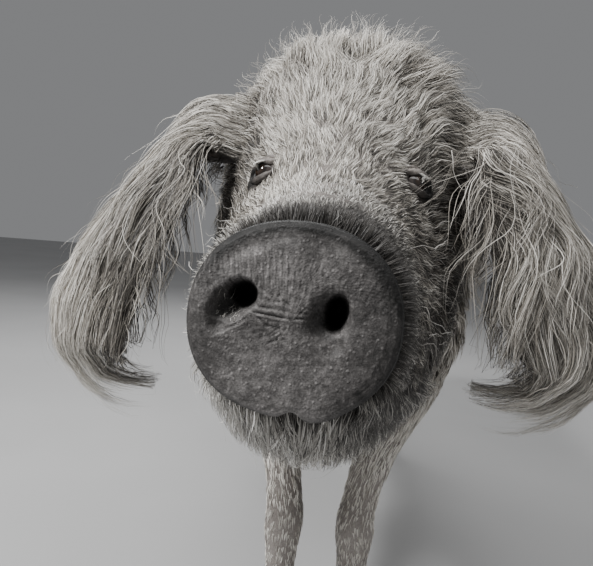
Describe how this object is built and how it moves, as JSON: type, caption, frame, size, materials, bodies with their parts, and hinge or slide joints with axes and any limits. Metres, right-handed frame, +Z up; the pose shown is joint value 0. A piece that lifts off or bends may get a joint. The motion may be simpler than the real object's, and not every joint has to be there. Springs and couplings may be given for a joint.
{
  "type": "domestic pig",
  "caption": "Life-size model of a standing long-haired, lop-eared domestic pig with a broad dark snout, on cloven hooves.",
  "frame": {"origin": "on the floor, under the middle of the whole animal's box", "axes": "+Z up from the floor, +Y from the snout towards the tail, so the pig faces -Y; +X is the pig's left"},
  "size_m": [0.5664, 1.7264, 0.8893],
  "materials": {
    "coat": "matte long hair, pale straw, woolly",
    "snout_skin": "moist dark skin with fine creases",
    "horn": "dark horn, satin",
    "eye": "wet, very dark brown"
  },
  "bodies": {
    "root": {"barrel": "coat", "ear_left": "coat", "ear_right": "coat", "eye_left": "eye", "eye_right": "eye", "front_left_claw_inner": "horn", "front_left_claw_outer": "horn", "front_left_dewclaw_inner": "horn", "front_left_dewclaw_outer": "horn", "front_right_claw_inner": "horn", "front_right_claw_outer": "horn", "front_right_dewclaw_inner": "horn", "front_right_dewclaw_outer": "horn", "head": "coat", "hind_left_claw_inner": "horn", "hind_left_claw_outer": "horn", "hind_left_dewclaw_inner": "horn", "hind_left_dewclaw_outer": "horn", "hind_right_claw_inner": "horn", "hind_right_claw_outer": "horn", "hind_right_dewclaw_inner": "horn", "hind_right_dewclaw_outer": "horn", "hindquarters": "coat", "leg_front_left": "coat", "leg_front_right": "coat", "leg_hind_left": "coat", "leg_hind_right": "coat", "neck": "coat", "shoulders": "coat", "snout": "snout_skin", "tail": "coat"}
  },
  "joints": []
}
